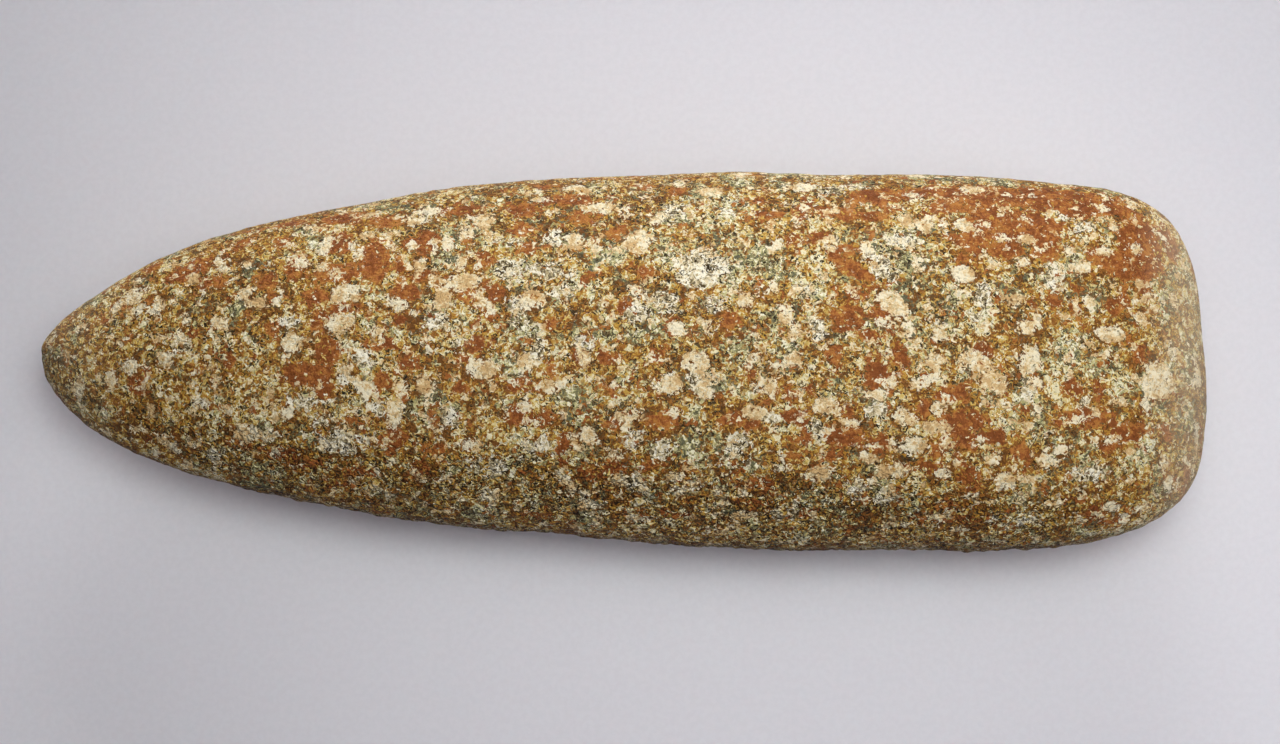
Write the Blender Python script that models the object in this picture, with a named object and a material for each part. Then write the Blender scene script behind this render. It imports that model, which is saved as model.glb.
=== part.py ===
"""A polished stone axe head, lying on its belly.

Blender 4.5, metres, +Z up. +X runs from the butt to the cutting edge and +Y
runs across the blade. The origin is under the middle of the stone, on the
surface that it lies on.
"""

import math

import bmesh
import bpy
import numpy as np
from mathutils import Vector

# Overall size of the stone.
LENGTH = 0.200
HALF_WIDTH = 0.03255
HALF_THICKNESS = 0.01800

# Distances from the butt at which the stone is widest and thickest.
WIDEST_AT = 0.135
THICKEST_AT = 0.112

# The fullness of each quarter of an outline, as (bend, lift): a larger bend
# keeps it straight for longer before the end, a smaller lift blunts the end.
LEFT_BUTT = (2.95, 0.700)
RIGHT_BUTT = (2.03, 0.464)
LEFT_BIT = (5.60, 0.193)
RIGHT_BIT = (4.16, 0.298)
FACE_BUTT = (2.10, 0.500)
FACE_BIT = (3.20, 0.560)

# Superellipse powers of the cross-section: oval along the body, and squarer
# towards the bit, where the faces are ground flat.
BODY_POWER = 2.0
BIT_POWER = 2.5
BIT_GRINDING = (0.115, 0.190)

# The cutting edge is ground slightly askew, and the tip of the butt is worn
# to one side.
EDGE_SKEW = 0.076
SKEW_GROWS = (0.150, 0.198)
TIP_SHIFT = 0.00095
TIP_REACH = 0.0065

# Low swells and flats that grinding by hand leaves down the two sides, as
# (distance from the butt, spread, swell on +Y, swell on -Y), and along the
# cutting edge, as (place across the blade, swell).
SIDE_SWELLS = (
    (0.021, 0.011, 0.00040, 0.00040),
    (0.054, 0.014, -0.00035, -0.00020),
    (0.087, 0.016, 0.00010, -0.00070),
    (0.119, 0.012, 0.00070, -0.00010),
    (0.149, 0.012, 0.00025, -0.00025),
    (0.176, 0.008, -0.00040, 0.00010),
)
EDGE_SWELLS = ((0.012, 0.00045), (-0.002, 0.00030), (-0.013, -0.00055))
EDGE_SPREAD = 0.007
EDGE_SWELLS_GROW = (0.180, 0.199)

# The small flat spot rubbed on the belly, which keeps the stone from rocking.
FLAT_DEPTH = 0.00045
CUTTER_HEIGHT = 0.010
CUTTER_MARGIN = 0.020

# Facets: strips along the body, across each face and down each side, and the
# length of outline that each rounded end takes up.
STRIPS_ALONG = 60
STRIPS_ACROSS = 18
STRIPS_DOWN = 12
BUTT_CAP = 0.012
BIT_CAP = 0.024
OUTLINE_SAMPLES = 4001

# A point of the disc counts as on its rim, and an edge as along an axis, from
# these shares of the full radius and length.
RIM = 0.999999
ALIGNED = 0.999

STONE_COLOUR = (0.33, 0.22, 0.11, 1.0)
STONE_ROUGHNESS = 0.62


def clear_scene():
    """Remove every object that the scene starts with."""
    for item in list(bpy.data.objects):
        bpy.data.objects.remove(item, do_unlink=True)


def new_collection(name):
    """Make a collection directly under the scene's own."""
    collection = bpy.data.collections.new(name)
    bpy.context.scene.collection.children.link(collection)
    return collection


def stone_material():
    """The axe's material: a weathered, brown, coarse granite."""
    material = bpy.data.materials.new("stone")
    material.use_nodes = True
    shader = material.node_tree.nodes["Principled BSDF"]
    shader.inputs["Base Color"].default_value = STONE_COLOUR
    shader.inputs["Roughness"].default_value = STONE_ROUGHNESS
    shader.inputs["Metallic"].default_value = 0.0
    return material


def arch(distance, reach, fullness):
    """Rise from 0 at an end of the stone to 1 at a distance of reach from it."""
    bend, lift = fullness
    left = 1.0 - min(max(distance / reach, 0.0), 1.0)
    return (1.0 - left**bend) ** lift


def rise(x, summit, butt, bit):
    """Height, from 0 to 1, of an outline that peaks at x = summit."""
    return arch(x, summit, butt) * arch(LENGTH - x, LENGTH - summit, bit)


def left_width(x):
    """Half-width on the +Y side, at a distance x from the butt."""
    return HALF_WIDTH * rise(x, WIDEST_AT, LEFT_BUTT, LEFT_BIT)


def right_width(x):
    """Half-width on the -Y side, at a distance x from the butt."""
    return HALF_WIDTH * rise(x, WIDEST_AT, RIGHT_BUTT, RIGHT_BIT)


def half_thickness(x):
    """Height of either face over the middle plane, at a distance x from the butt."""
    return HALF_THICKNESS * rise(x, THICKEST_AT, FACE_BUTT, FACE_BIT)


def ease(x, span):
    """Smooth step from 0 to 1 between the two ends of span."""
    start, end = span
    t = min(max((x - start) / (end - start), 0.0), 1.0)
    return t * t * (3.0 - 2.0 * t)


def section_power(x):
    """Superellipse power of the cross-section at a distance x from the butt."""
    return BODY_POWER + (BIT_POWER - BODY_POWER) * ease(x, BIT_GRINDING)


def bell(distance, spread):
    """Smooth bump: 1 at a distance of 0, and 0.37 at a distance of spread."""
    return math.exp(-((distance / spread) ** 2))


def side_swell(x, across):
    """How far the side swells outwards, fading to nothing at the middle line."""
    total = 0.0
    for centre, spread, left, right in SIDE_SWELLS:
        total += (left if across > 0.0 else right) * bell(x - centre, spread)
    return total * across


def edge_swell(x, y):
    """How far the cutting edge stands forward at a place across the blade."""
    total = sum(swell * bell(y - centre, EDGE_SPREAD) for centre, swell in EDGE_SWELLS)
    return total * ease(x, EDGE_SWELLS_GROW)


def outline_by_length():
    """The mean outline as two arrays: length along it, and distance from the butt."""
    turn = np.linspace(0.0, math.pi, OUTLINE_SAMPLES)
    xs = LENGTH * (1.0 - np.cos(turn)) / 2.0
    ys = np.array([(left_width(x) + right_width(x)) / 2.0 for x in xs])
    steps = np.hypot(np.diff(xs), np.diff(ys))
    return np.concatenate(([0.0], np.cumsum(steps))), xs


def on_unit_disc(b, c):
    """Map a point of the square from -1 to 1 onto the unit disc, as (radius, angle)."""
    p = b * math.sqrt(1.0 - c * c / 2.0)
    q = c * math.sqrt(1.0 - b * b / 2.0)
    return math.hypot(p, q), math.atan2(q, p)


def signed_power(value, power):
    """Raise a number's size to a power and keep its sign."""
    return math.copysign(abs(value) ** power, value)


def stone_point(cube, lengths, xs):
    """Where a point on the surface of the cube from -1 to 1 lies on the stone."""
    total = lengths[-1]
    radius, angle = on_unit_disc(cube.y, cube.z)
    along = (cube.x + 1.0) / 2.0
    if radius > RIM:
        travelled = BUTT_CAP + (total - BUTT_CAP - BIT_CAP) * along
    elif cube.x < 0.0:
        travelled = BUTT_CAP * radius
    else:
        travelled = total - BIT_CAP * radius
    x = float(np.interp(travelled, lengths, xs))
    reach = 2.0 / section_power(x)
    across = signed_power(math.cos(angle), reach)
    up = signed_power(math.sin(angle), reach)
    width = left_width(x) if across > 0.0 else right_width(x)
    y = width * across + side_swell(x, across) + TIP_SHIFT * bell(x, TIP_REACH)
    skewed = x - EDGE_SKEW * y * ease(x, SKEW_GROWS) + edge_swell(x, y)
    return Vector((skewed - LENGTH / 2.0, y, half_thickness(x) * up))


def split_cube(mesh, axis, cuts):
    """Cut every edge that runs along one axis of the cube into equal parts."""
    along = [edge for edge in mesh.edges if is_along(edge, axis)]
    bmesh.ops.subdivide_edges(mesh, edges=along, cuts=cuts - 1, use_grid_fill=True)


def is_along(edge, axis):
    """Whether an edge runs along the given axis: 0 for X, 1 for Y, 2 for Z."""
    start, end = edge.verts
    run = end.co - start.co
    return abs(run[axis]) > ALIGNED * run.length


def middle_of(values):
    """Halfway between the smallest and the largest value."""
    return (min(values) + max(values)) / 2.0


def axe_head(collection, material):
    """The stone: a finely divided cube whose points are moved onto the axe."""
    mesh = bmesh.new()
    bmesh.ops.create_cube(mesh, size=2.0)
    for axis, strips in enumerate((STRIPS_ALONG, STRIPS_ACROSS, STRIPS_DOWN)):
        split_cube(mesh, axis, strips)
    lengths, xs = outline_by_length()
    for vertex in mesh.verts:
        vertex.co = stone_point(vertex.co, lengths, xs)
    middle_x = middle_of([vertex.co.x for vertex in mesh.verts])
    middle_y = middle_of([vertex.co.y for vertex in mesh.verts])
    data = bpy.data.meshes.new("axe_head")
    mesh.to_mesh(data)
    mesh.free()
    data.materials.append(material)
    data.shade_smooth()
    head = bpy.data.objects.new("axe_head", data)
    head.location = (-middle_x, -middle_y, HALF_THICKNESS - FLAT_DEPTH)
    collection.objects.link(head)
    return head


def flat_cutter(collection):
    """A slab whose top lies at z = 0, wider and longer than the stone."""
    bpy.ops.mesh.primitive_cube_add(size=1.0)
    slab = bpy.context.object
    slab.name = "flat_cutter"
    slab.scale = (LENGTH + CUTTER_MARGIN, 2.0 * HALF_WIDTH + CUTTER_MARGIN, CUTTER_HEIGHT)
    slab.location.z = -CUTTER_HEIGHT / 2.0
    for owner in list(slab.users_collection):
        owner.objects.unlink(slab)
    collection.objects.link(slab)
    slab.hide_render = True
    slab.display_type = "WIRE"
    return slab


def rub_flat(head, slab):
    """Take the flat spot off the belly with the slab."""
    cut = head.modifiers.new("flat_spot", "BOOLEAN")
    cut.operation = "DIFFERENCE"
    cut.solver = "EXACT"
    cut.object = slab


def main():
    """Build the axe head."""
    clear_scene()
    parts = new_collection("stone_axe")
    cutters = new_collection("cutters")
    head = axe_head(parts, stone_material())
    rub_flat(head, flat_cutter(cutters))


main()
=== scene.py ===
"""Looks of a polished stone axe head: coarse, iron-stained granite, ground smooth and lying on a pale floor.

+X runs from the butt to the cutting edge, +Y across the blade and +Z up. Lengths are in metres unless a
name ends in _mm.
"""

import logging
import math
import random
from dataclasses import dataclass, field
from enum import Enum

import bpy
import numpy as np
from mathutils import Matrix, Vector, noise
from mathutils.bvhtree import BVHTree


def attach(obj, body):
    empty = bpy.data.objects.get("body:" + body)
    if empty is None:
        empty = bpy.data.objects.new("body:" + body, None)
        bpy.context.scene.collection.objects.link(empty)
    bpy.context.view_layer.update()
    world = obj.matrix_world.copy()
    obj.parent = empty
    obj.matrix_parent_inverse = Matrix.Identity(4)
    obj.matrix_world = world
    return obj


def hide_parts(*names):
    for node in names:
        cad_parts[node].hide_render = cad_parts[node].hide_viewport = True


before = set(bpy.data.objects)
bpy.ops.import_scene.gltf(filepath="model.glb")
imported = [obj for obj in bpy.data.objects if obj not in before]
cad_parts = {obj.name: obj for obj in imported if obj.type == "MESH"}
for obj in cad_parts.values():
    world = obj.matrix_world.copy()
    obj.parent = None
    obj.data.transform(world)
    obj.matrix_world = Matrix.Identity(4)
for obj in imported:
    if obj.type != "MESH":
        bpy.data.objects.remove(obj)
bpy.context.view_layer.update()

MM = 0.001

Socket = bpy.types.NodeSocket

# Beyond this distance outside its rim, in millimetres, a mark has no effect.
REACH_MM = 2.5

# Marks on the underside are strewn this far along and across, in millimetres, and turned this far, in
# degrees, either way; their widths are these shares of their lengths.
STREWN_ALONG_MM = 98
STREWN_ACROSS_MM = 32
STREWN_TURN = 40
STREWN_WIDTH = (0.45, 0.95)
STREWN_SEED = 12

log = logging.getLogger("axe_head")


class Stain(Enum):
    """What a mark on the stone is, with the name of the mesh attribute that holds it."""

    RUST = "rust"
    FELDSPAR = "feldspar"
    FRESH = "fresh"
    DARK = "dark"


class Wear(Enum):
    """What changes slowly over the stone, painted shade and sheen too, and the name of its mesh attribute."""

    PECKED = "pecked"
    STAINING = "staining"
    RUST_SHEEN = "rust_sheen"
    # The next one is painted sheen that lightens the rust towards the back.
    WORN = "worn"
    # The next one is a pale rub on both ends, with painted sheen.
    RUB_SHEEN = "rub_sheen"
    # The next two are painted shade low on the sides and where they turn under.
    LOW_SHADE = "low_shade"
    FLANK_SHADE = "flank_shade"


@dataclass(frozen=True)
class Mark:
    """One natural mark in the stone: where its middle lies in plan, and its length, width and turn.

    Sizes are in millimetres and the turn in degrees, anticlockwise from +X.
    """

    x_mm: float
    y_mm: float
    length_mm: float
    width_mm: float
    turn: float = 0.0


def marks(*rows: tuple) -> tuple[Mark, ...]:
    """Make marks from rows of x, y, length, width and, where it isn't 0, turn."""
    return tuple(Mark(*row) for row in rows)


# The marks on the upper face, listed roughly from the butt to the bit.
RUST_PATCHES = marks(
    (-96, -8.5, 4, 1.6, -45), (-88.5, 5, 2.2, 1.8), (-81, 14, 3.2, 3, 25), (-74, 12.8, 8, 4, 25),
    (-69.5, 10.5, 5, 2.2, 10), (-82, -7, 3.4, 3), (-64.5, 18.5, 3.2, 1.6, 20), (-66.3, 17, 2.2, 1.6),
    (-57, 21.8, 9, 2.4, 12), (-58.5, 18, 3, 2.8), (-55.8, 13, 3, 5), (-60.5, 10.5, 4.2, 2.8),
    (-59, 7.8, 2.2, 2), (-59, 2, 2.8, 2.4), (-66, -3.5, 1.8, 1.6), (-57, -18.6, 7, 2.4, -8),
    (-64, -17, 4.2, 1.6), (-47.5, 22.5, 8, 4, 8), (-41, 21.5, 5.5, 3.2), (-48, 17.5, 3.5, 4.5),
    (-42, 14, 5, 8), (-48, 11.5, 8, 3.5), (-51.5, 7.5, 5, 3), (-47, 5.2, 5, 1.8), (-51, 3, 2.5, 4),
    (-49.5, -2, 4, 4.5), (-53, -6, 9, 4.4), (-50, -8.2, 3, 3), (-36, 17, 2.5, 2.5), (-33.5, 17, 4.5, 4.5),
    (-38, 12.8, 3.2, 4), (-36.5, 8, 4, 3.5), (-34.5, 10.8, 3, 1.8), (-40, -1, 4, 1.6),
    (-36, -3.5, 2.6, 2.6), (-40, -7.3, 3, 3), (-37.5, 3.5, 2.5, 1.6), (-38.5, -16.5, 5.5, 4),
    (-31.5, -18, 4.2, 1.8), (-34.5, -21.5, 4.2, 2.8), (-44, -21.5, 4.2, 2), (-46.5, -23.5, 5, 1.4),
    (-52.5, -20, 5, 2), (-27.5, 23.5, 6, 2.8), (-17.5, 23.5, 4.8, 3.6), (-8.5, 25.5, 7, 2.6),
    (-7.5, 22, 3.6, 2.6), (-17, 19.5, 4.6, 2.6), (-13, 28.7, 4, 1.2), (-3, 30.5, 4, 0.9),
    (-1.3, 18.7, 3.2, 2.2), (-27, 17.5, 2, 1.6), (-26, 8, 3.6, 3), (-21.5, 8, 3, 3), (-24, -1, 3.6, 3),
    (-22, 4, 3, 1.8), (-27, -8, 3, 2.5), (-18, -8, 4.6, 2), (-17.5, -12.5, 3.6, 3), (-12.3, -12.8, 3, 2.4),
    (-12, -5.5, 2.2, 2.2), (-7, -3, 3.6, 3.2), (-2.5, -3, 3.2, 2.2), (0, 6, 2.6, 3), (-12, 2.5, 1.8, 2),
    (-6, -22, 4.6, 2.8), (-1, -21, 3.2, 2), (-14, -28, 5, 1.2), (-10, -18, 2, 4), (-17, 16, 5, 2),
    (-23, 14, 3, 2.5), (2, 28.7, 3, 1.3), (12, 30.7, 3, 1), (8.8, 27.5, 2.8, 2), (22, 25.5, 3, 2),
    (24, 22.5, 4.6, 2.2), (30, 23, 3, 2.8), (33.5, 23.3, 3, 2), (29, 18, 2.6, 2.2), (3.5, 11.8, 3, 2),
    (17.5, 3.5, 3.2, 2.5, 40), (5.5, -2.5, 2.8, 2.5), (28, -9, 3.5, 2), (29, -12.5, 4.6, 3),
    (6.5, -13.5, 4.6, 2.8), (18, -13, 5, 2.5), (22, -14, 3, 1.6), (21.5, -5.7, 2, 1.8), (4, -20.7, 4, 1.2),
    (23, -23.7, 5, 2), (23, -26.2, 5, 1.6), (28, -19, 3.5, 2), (8, -28.3, 4.5, 1.4), (1.5, -27.5, 3, 0.9),
    (29.5, -16.5, 3, 2), (37.5, 23, 5, 3), (42, 22.3, 3.6, 2), (45.5, 24.2, 3, 1.6), (54, 27.5, 9, 3.4),
    (53, 24, 5, 3), (60, 24.8, 12, 4.4), (58.5, 18, 6.6, 5), (57, 15, 3.5, 2.5), (64, 17, 6.6, 3.8),
    (36.5, 16, 4.5, 1.8), (33, 18, 2.2, 2), (38, 12.8, 6.4, 3, -35), (39, 8, 3, 2.5), (37.5, 4, 5, 4),
    (43, 4.8, 4, 2.5), (41, 1, 3, 1.8), (35, -2, 3.2, 3), (46, -2.8, 2.4, 3.8), (42.3, -5.2, 4.6, 4.8),
    (55, -8.3, 6, 3.2), (49.7, -11, 3, 3.6), (56.5, -13, 7.5, 3.6), (57, -16, 4.6, 3.2),
    (52.5, -18, 2.4, 2.6), (37.5, -11.8, 3, 2.8), (37, -16, 6.6, 3.2), (43, -16.5, 4.6, 3),
    (35, -18.5, 2, 3), (50, -20.5, 6, 1.6), (58, -22.5, 4, 5), (54.5, -26.5, 3.6, 2.6), (57, -28.5, 3.6, 2),
    (53, -28.5, 2.5, 2), (66, 26.8, 9, 3.8), (73, 28, 9, 2.6), (66, 22.8, 10, 3.6), (76, 25.6, 9, 5.2, -10),
    (71, 17.5, 5, 5), (72, 22, 5, 3), (88.5, 21.5, 5, 7.5, 15), (85.5, 26, 4, 3, -30), (84, 15, 12, 5, -12),
    (88, 12.5, 3, 4), (84, 9, 2.2, 3), (83, 7.5, 3, 3), (72.5, 8, 2.8, 2.5), (68.5, 7, 1.6, 2),
    (76, 7, 1.7, 1.7), (60, -1.2, 3.4, 3.6), (75, -7, 3.6, 3), (79.5, -8, 1.7, 3), (87, 0, 3, 3),
    (78, -11.7, 8.4, 2.8), (82, -12, 1.6, 2), (81.5, -16.5, 3, 2), (85, -13.5, 6, 3), (92, -13.5, 2.2, 3),
    (98.6, -12.5, 1.6, 8), (96, -19, 2, 2.8), (95.3, -22, 1.6, 2), (79.5, -27, 3.6, 3.6),
    (83, -28.3, 4, 1.8), (77, -25, 3, 1.7), (66.3, -18, 2.4, 3), (62, -15.5, 4.6, 2.8), (67.5, -20, 2, 2),
    (93.5, 20, 3, 9, 12), (65, 26.8, 31, 5.5), (65, 20.8, 18, 6), (88, 18.5, 9, 12), (79, 26.5, 12, 5, -10),
    (43, 26.5, 12, 4, 4),
)
FELDSPARS = marks(
    (-98, 2, 2, 2), (-92, 3.3, 1.8, 1.5), (-86.5, 6.5, 1, 2.7), (-83.5, 8.5, 3.6, 3.4), (-83, 11.5, 3, 1.5),
    (-79, 6.5, 2, 4), (-73.2, 11.2, 2.3, 2.2), (-64, 13.5, 2.8, 2), (-68.5, 14.2, 2, 1.5),
    (-55, 14, 2.6, 2.6), (-61.5, 6.5, 2.6, 2), (-64, 8, 1.8, 2.3), (-68, 2.8, 3.5, 2, -35),
    (-74, 3.5, 1.8, 2.3), (-55.5, -0.6, 3.8, 3), (-78, 1, 2.7, 1.5), (-77.2, -2.8, 2.6, 2.6),
    (-83, -3.7, 2, 2.4), (-86.5, -6, 2.2, 2), (-69.5, -4, 1.5, 1.8), (-92.5, -7, 2.5, 4),
    (-79.5, -11, 1.6, 2), (-82.2, -14.2, 2.6, 1.5), (-77, -16.5, 4.6, 1.8, -40), (-63.5, -15.3, 5, 3),
    (-56, -12, 2.2, 1.6), (-53, 20.6, 3, 1.5), (-50.5, 17, 2.6, 3.8), (-54, 13.5, 2.6, 2.4),
    (-51, 13, 2, 1.2), (-46, 17, 1.6, 2), (-44.6, 15.5, 1.6, 2.8), (-43.5, 18.7, 2.6, 1.6),
    (-44, 23, 3, 1.2), (-40.5, 18.5, 2.6, 2.2), (-46.5, 8, 4.6, 3.6), (-47.5, 2.6, 5, 3),
    (-41, 1.4, 2, 1.4), (-37.5, 6, 3, 2), (-35, 4.3, 1.8, 1.6), (-36, 16.5, 1.6, 1.8), (-29.7, 16.5, 2, 3),
    (-26.5, 18.5, 2.6, 2.3), (-24, 21, 3.6, 3.6), (-33, 23.5, 5, 2), (-36, 21.5, 4, 1.8),
    (-30, 7, 2.5, 3.6), (-26.5, 10, 6, 2.6), (-24, 6.5, 1.8, 4), (-34.5, 12.3, 1.5, 2.8),
    (-32, 11, 1.5, 2.6), (-27.5, 13.5, 1.6, 2.4), (-42.5, -8.5, 3.3, 2.9, -40), (-37, -8, 2.4, 3),
    (-33.5, -7.4, 3.2, 2.5), (-38, -12, 2.9, 4.6), (-25, -17.5, 3.6, 2.4), (-32, -14.7, 2.6, 1),
    (-33, -22.5, 2.3, 1.2), (-15.2, 6.6, 3.6, 3.2), (-14.5, 25.5, 3, 1.6), (-23, -5, 5, 3.2),
    (-16.5, -4.5, 3, 4), (-12.2, -8, 3.2, 2.2), (-16.5, -11.5, 2.6, 2), (-8, 28, 4.2, 1.9),
    (-4, 23.8, 4.6, 2.3), (-8.5, 17.5, 3.2, 4), (-3.5, 6, 1.6, 1.4), (-5.7, -15.8, 3.8, 2.6),
    (-0.7, -19, 1.6, 1.9), (-8.5, -23.5, 4.8, 1.5, -38), (-5.5, -26.5, 4, 1.3), (-6.5, -3, 4, 2, -62),
    (13.8, 27.3, 4.4, 2.2), (5.3, 21.7, 2.6, 2.2), (2.2, 17.2, 4, 4.6), (30, 28.4, 4.8, 2.4),
    (26.8, 4.3, 2.9, 4), (28.5, 1.2, 2.4, 2.4), (20.5, 7, 3, 2.8), (8.8, 2, 2.3, 2.6), (22, -3, 2.6, 2),
    (28, -3, 3, 2), (24.3, -8, 2.3, 4), (21.8, -11.8, 3.5, 2.5), (12, -4, 4.4, 4), (13.5, -8, 3.6, 3),
    (8, -7.5, 3.4, 3.2), (1.5, -12.8, 5, 2, 8), (8.2, -22.5, 2.7, 1.4), (-0.4, -23, 2.8, 2.4),
    (2.8, -28.7, 3.6, 1.5), (20.5, -28.2, 3.2, 1.3), (26.5, -21, 2.6, 1.3), (49, 27, 3, 1.5),
    (59.5, 28, 5.2, 2.3, -5), (57.3, 21, 4, 1.8, -40), (61.6, 21.2, 3.5, 1.3), (63.5, 19, 3, 1.7),
    (67.4, 18.6, 3, 2), (68.5, 22, 2.4, 1.2, -40), (50, 21, 4, 2, -35), (41, 16.5, 2.6, 2),
    (49.3, 13.8, 2.6, 2.6), (45, 6.6, 6, 3.4, -38), (47.5, 2, 2.4, 3), (43.5, 3, 2.6, 1.8),
    (34, 18, 3, 1.8), (53, 1.5, 2.6, 2.5), (57, 12, 3.8, 3), (66.2, 7.6, 2.4, 2.1), (67.5, 3.3, 3.2, 2.7),
    (58.6, -3, 5.6, 2.8, -28), (61.5, -6.4, 5.4, 3.4, -25), (52, -3, 3.2, 3), (50, -6.4, 5, 2, 22),
    (68, -2.4, 3.6, 4.8), (69, -6.2, 2.5, 2.2), (44.8, -6.6, 1.5, 2.8), (42, -9, 3.6, 1.8),
    (47, -12.4, 3.4, 2.8, -30), (33.4, -11, 3.4, 2.8), (37.8, -13.6, 3, 1.3), (52.5, -11, 2.6, 2),
    (52.6, -14, 3.4, 1.5), (54, -16.5, 2, 2), (49, -17, 4, 2.6), (44.6, -21, 5.2, 2.5, 8),
    (33, -21.6, 4, 2.8), (41, -19, 3, 1.8), (64, -22.4, 4.2, 2.6), (62, -19, 3.2, 2.2), (57, -25, 2.6, 0.9),
    (47.5, -29.4, 4, 0.8), (53, -21.5, 2.5, 2), (71, -19, 4.2, 1.9), (73.5, -17.3, 3, 2.2),
    (82, -26.2, 2.7, 1.8), (67.2, 14.6, 2.6, 1.8), (77, 14, 3, 2.8), (83.5, 22, 2.6, 2),
    (81.5, 25.5, 2, 1.5), (86.5, 27.4, 4, 1.8, -35), (92, 21, 3, 1.3, -35), (87, 18.3, 1.6, 2.2),
    (81, 17, 3, 1.3), (75.5, 17, 2, 2.3), (78.5, 8, 2.5, 3), (89, 9.5, 2.5, 2.3), (93.6, 9.5, 1.6, 3),
    (87, 5.8, 5, 2, -25), (82, 2.8, 5, 3.2), (74.5, -1.6, 2.2, 2.3), (90.3, -4.9, 6.2, 6.8),
    (83.5, -9, 2.6, 1.4), (82, -15.2, 3.6, 1.4), (88, -9, 1.6, 2), (91.5, -18.3, 1.6, 2),
    (97.5, -14.5, 1.3, 4), (97, -18.5, 1.3, 3), (98, -2.5, 1.6, 4), (88, -26, 2.2, 1.3),
    (92.5, -21.5, 2, 2.4),
)
FRESH_PATCHES = marks(
    (13, 12.5, 9, 8), (8, 23.5, 3.4, 3), (17, 23, 2.4, 1.4), (7, 6.5, 5.6, 3.4), (2.2, 5, 5, 4.6),
    (15.5, 6.5, 3.6, 2.4), (-6.5, -1.6, 3.2, 3.6), (7.5, -7.5, 3, 2.4), (13, -7, 4.6, 3.6),
    (-12.5, 11.5, 6, 4), (-12.5, 18, 4, 2.4), (-19, 12, 5, 4.4), (-19, 17.5, 3.8, 1.8),
    (-18.4, 6.4, 2.6, 2), (-17.3, 3.4, 3, 2.4), (-14.5, -1.5, 3.2, 3.4), (-10.5, 8, 3.2, 3),
    (-27.5, -1, 3, 2.2), (-31.3, 3, 3.4, 3.6), (-48.5, 1, 2, 1.2), (-44, -3, 4, 3), (-46.5, -6.5, 2.4, 4),
    (-53, -10.2, 7, 3), (-51, -12.8, 4.6, 2, -40), (-48, -16.5, 8, 4), (-41.5, -11.6, 4, 2.6, -35),
    (-29, -13, 5, 3.4), (-55.5, 3, 4, 3), (-70.5, -10.5, 3.6, 2.2), (-69, -18.5, 2.2, 1.8),
    (-12.5, -17.6, 4.6, 3), (-22, -20.6, 8, 3), (2, -16.4, 3.4, 3.2), (6.5, -18, 3.8, 3.6),
    (2.2, -23.4, 3.4, 2.4), (19.5, -17, 4.2, 4), (24.5, -12.8, 3, 3), (26, -28, 4, 2), (12, -24, 2, 1.2),
    (17.3, -20.5, 3.4, 1.6), (43.6, 12.8, 5.2, 4.4, -30), (37, 28, 7, 2.4), (53.5, 20.4, 3.4, 2, -30),
    (32.3, 2, 3.2, 3.8), (31, 8, 3, 3), (60, 8, 3.4, 4.4), (59.6, 4.4, 3.6, 2.4), (51.7, 3.4, 3, 2),
    (47, 18, 5, 3), (42, -11.6, 3.4, 3), (33, -15.4, 3.2, 3.8), (48.6, -17.6, 5, 3.4), (43.8, -26, 4, 1.7),
    (38.5, -24, 4, 1.8), (78, -21.5, 5.4, 3.2), (63.6, -28, 4.4, 1.8), (68.6, -28.9, 3.4, 1.5),
    (67.7, -7.6, 3, 4), (74.5, 23.5, 2.5, 2), (77.5, 21.5, 3.6, 1.6), (72.6, 12.6, 4.4, 4.2),
    (75, 8.5, 1.6, 2), (93, 0.6, 2.4, 2.6), (77, -9, 1.4, 2.4), (53, -9.6, 2, 1.6), (63, -10, 3, 2),
    (-74, -1, 3, 2.4),
)
DARK_PATCHES = marks(
    (53, 6.4, 6, 4.6), (56.5, 2.4, 3.6, 3), (47.6, 11.4, 3.4, 3.4), (66, -6, 2, 3.6),
    (59.4, -9.6, 3.6, 1.6), (-2, -12.4, 3.6, 1.8), (-31, -13.4, 4, 2.4), (8, -2, 1.8, 2.2),
    (-29, 3.4, 2.4, 2.4), (16.6, -7, 2.6, 2), (45.4, 16, 4, 2.6), (55.6, -6, 2.6, 1.2), (-13.4, -3.4, 3, 2),
    (-47.6, 0.6, 2.4, 1.6), (13.4, -14.4, 4, 2), (1, 9, 3, 2.4), (-24, -14, 4, 3), (72, -23, 4, 2.4),
    (70, -14.6, 5, 3),
)


@dataclass(frozen=True)
class Scatter:
    """Marks strewn over the underside, to match the upper face in size and number."""

    count: int
    least_mm: float
    most_mm: float

    def strewn(self, draw: random.Random) -> list[Mark]:
        """Place the marks.

        Args:
            draw: the source of chance.

        Returns:
            The marks; some may fall beside the stone.
        """
        made = []
        for _ in range(self.count):
            length = self.least_mm + (self.most_mm - self.least_mm) * draw.random() ** 2
            width = length * draw.uniform(*STREWN_WIDTH)
            x = draw.uniform(-STREWN_ALONG_MM, STREWN_ALONG_MM)
            y = draw.uniform(-STREWN_ACROSS_MM, STREWN_ACROSS_MM)
            made.append(Mark(x, y, length, width, draw.uniform(-STREWN_TURN, STREWN_TURN)))
        return made


def srgb(red: int, green: int, blue: int) -> tuple[float, float, float, float]:
    """Turn a colour of 0 to 255 into the linear values that a shader takes.

    Args:
        red: red, from 0 to 255.
        green: green, from 0 to 255.
        blue: blue, from 0 to 255.

    Returns:
        The linear colour with an alpha of 1.
    """
    shares = [value / 255.0 for value in (red, green, blue)]
    linear = [s / 12.92 if s <= 0.04045 else ((s + 0.055) / 1.055) ** 2.4 for s in shares]
    return (linear[0], linear[1], linear[2], 1.0)


def smooth_step(values: np.ndarray, low: float, high: float) -> np.ndarray:
    """Ease values from 0 at low to 1 at high.

    Args:
        values: the numbers to ease.
        low: where the step starts.
        high: where it ends.

    Returns:
        The eased numbers, from 0 to 1.
    """
    t = np.clip((values - low) / (high - low), 0.0, 1.0)
    return t * t * (3.0 - 2.0 * t)


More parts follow.
